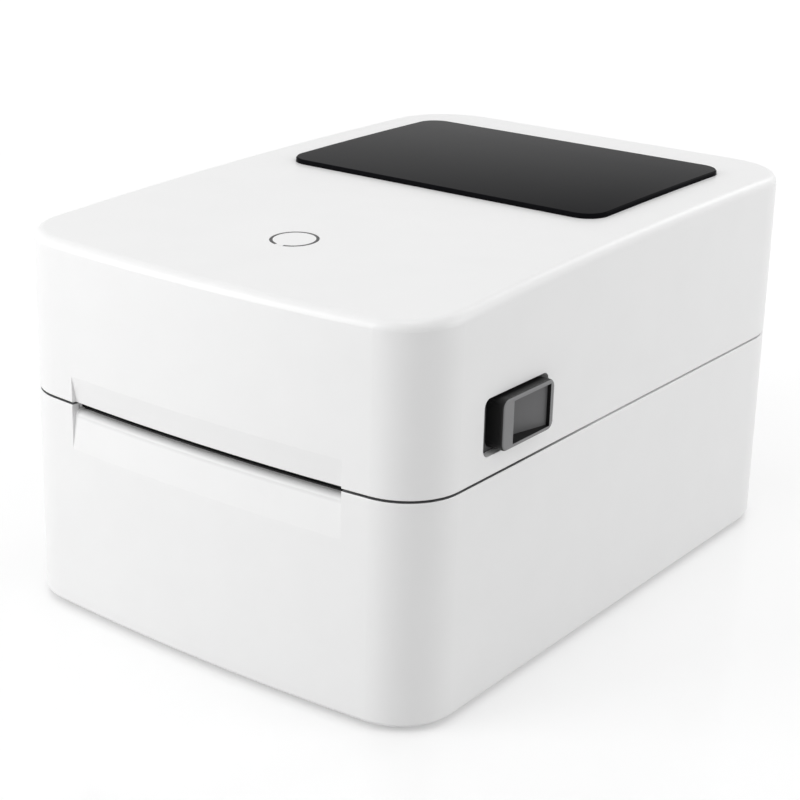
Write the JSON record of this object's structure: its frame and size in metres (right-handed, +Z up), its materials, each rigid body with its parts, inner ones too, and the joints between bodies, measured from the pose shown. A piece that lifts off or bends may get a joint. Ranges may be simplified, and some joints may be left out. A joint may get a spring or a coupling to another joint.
{
  "type": "thermal label printer",
  "caption": "White desktop thermal label printer with a bowed front, label exit slot, black top panel, round feed button and a hinged lid held by side latches.",
  "frame": {"origin": "on the table under the middle of the case, at the bottom of the feet", "axes": "+X to the printer's right seen from the front, +Y to its back, +Z up"},
  "size_m": [0.187, 0.26, 0.1472],
  "materials": {
    "white_shell": "fine satin white ABS",
    "black_panel": "polished black acrylic",
    "light_ring": "dark translucent light guide",
    "latch_grey": "fine matte grey ABS",
    "chassis_grey": "dark grey moulded ABS",
    "guide_plastic": "grey acetal",
    "gear_plastic": "natural acetal",
    "platen_rubber": "ground silicone rubber",
    "foot_rubber": "black rubber",
    "steel": "plated steel",
    "sheet_steel": "zinc plated sheet steel",
    "motor_paint": "black painted motor can",
    "pinion_brass": "cut brass",
    "head_aluminium": "extruded heat sink",
    "heater_ceramic": "glazed ceramic with a heater line",
    "board_green": "solder mask",
    "black_plastic": "black moulded plastic",
    "connector_white": "natural nylon",
    "socket_steel": "tinned shell",
    "ribbon_film": "white polyester film"
  },
  "bodies": {
    "base": {"base_screws": "steel", "board_cable": "ribbon_film", "board_capacitors": "black_plastic", "board_chips": "black_plastic", "board_connector": "connector_white", "catch_left": "sheet_steel", "catch_right": "sheet_steel", "chassis": "chassis_grey", "dc_socket": "black_plastic", "foot_back_left": "foot_rubber", "foot_back_right": "foot_rubber", "foot_front_left": "foot_rubber", "foot_front_right": "foot_rubber", "gap_sensor": "black_plastic", "gear_plate": "sheet_steel", "hinge_cable": "ribbon_film", "hinge_pins": "steel", "idler_pin": "steel", "lower_case": "white_shell", "main_board": "board_green", "motor_body": "motor_paint", "motor_screws": "steel", "plate_screws": "steel", "platen_bush_left": "gear_plastic", "platen_bush_right": "gear_plastic", "power_switch_body": "black_plastic", "rack_tray": "chassis_grey", "small_screws": "steel", "usb_socket": "socket_steel"},
    "platen": {"platen_shaft": "steel", "platen_rubber": "platen_rubber", "platen_gear": "gear_plastic"},
    "idler": {"idler_gear": "gear_plastic"},
    "motor_rotor": {"motor_shaft": "steel", "motor_pinion": "pinion_brass"},
    "guide_left": {"roll_guide_left": "guide_plastic"},
    "guide_right": {"roll_guide_right": "guide_plastic"},
    "pinion": {"guide_pinion": "guide_plastic"},
    "rocker": {"power_rocker": "black_plastic"},
    "cover": {"top_cover": "white_shell", "top_panel": "black_panel", "head_carrier": "chassis_grey", "head_pivot_pin": "steel", "carrier_screws": "steel", "tear_bar": "sheet_steel", "button_board": "board_green", "button_switch": "black_plastic", "head_cable": "ribbon_film", "head_spring_left": "steel", "head_spring_right": "steel", "latch_spring_left": "steel", "latch_spring_right": "steel"},
    "head": {"heater_strip": "heater_ceramic", "print_head": "head_aluminium", "head_bracket": "sheet_steel", "head_connector": "connector_white"},
    "button": {"button_cap": "white_shell", "button_ring": "light_ring"},
    "latch_right": {"latch_right": "latch_grey"},
    "latch_left": {"latch_left": "latch_grey"}
  },
  "joints": [
    {"name": "platen_spin", "type": "hinge", "parent": "base", "child": "platen", "pos_m": [0, -0.11, 0.0714], "axis": [1, 0, 0], "continuous": true},
    {"name": "idler_spin", "type": "hinge", "parent": "base", "child": "idler", "pos_m": [0, -0.1016, 0.05685], "axis": [1, 0, 0], "continuous": true},
    {"name": "motor_spin", "type": "hinge", "parent": "base", "child": "motor_rotor", "pos_m": [0, -0.08505, 0.0403], "axis": [1, 0, 0], "continuous": true},
    {"name": "guide_left_slide", "type": "slide", "parent": "base", "child": "guide_left", "axis": [1, 0, 0], "range_m": [0, 0.04]},
    {"name": "guide_right_slide", "type": "slide", "parent": "base", "child": "guide_right", "axis": [-1, 0, 0], "range_m": [0, 0.04]},
    {"name": "guide_pinion_spin", "type": "hinge", "parent": "base", "child": "pinion", "pos_m": [0, 0.056, 0.0129], "axis": [0, 0, 1], "range_deg": [0, 290]},
    {"name": "power_rock", "type": "hinge", "parent": "base", "child": "rocker", "pos_m": [-0.04, 0.1237, 0.0207], "axis": [0, 0, 1], "range_deg": [0, 14]},
    {"name": "cover_open", "type": "hinge", "parent": "base", "child": "cover", "pos_m": [0, 0.1255, 0.0806], "axis": [-1, 0, 0], "range_deg": [0, 95], "deforming": ["hinge_cable"]},
    {"name": "head_lift", "type": "hinge", "parent": "cover", "child": "head", "pos_m": [0, -0.076, 0.1], "axis": [-1, 0, 0], "range_deg": [0, 2.5], "stiffness_Nm_per_rad": 6, "springref_deg": -2.86, "deforming": ["head_spring_left", "head_spring_right"]},
    {"name": "button_press", "type": "slide", "parent": "cover", "child": "button", "axis": [0, 0.0486, -0.9988], "range_m": [0, 0.0008], "stiffness_N_per_m": 2500, "springref_m": -0.0004},
    {"name": "latch_right_pull", "type": "slide", "parent": "cover", "child": "latch_right", "axis": [0, -1, 0], "range_m": [0, 0.005], "stiffness_N_per_m": 600, "springref_m": -0.003, "deforming": ["latch_spring_right"]},
    {"name": "latch_left_pull", "type": "slide", "parent": "cover", "child": "latch_left", "axis": [0, -1, 0], "range_m": [0, 0.005], "stiffness_N_per_m": 600, "springref_m": -0.003, "deforming": ["latch_spring_left"]}
  ],
  "couplings": [
    {"joint": "idler_spin", "follows": "platen_spin", "ratio": -1.8},
    {"joint": "motor_spin", "follows": "platen_spin", "ratio": 6},
    {"joint": "guide_right_slide", "follows": "guide_left_slide", "ratio": 1},
    {"joint": "guide_pinion_spin", "follows": "guide_left_slide", "rad_per_m": 125}
  ]
}
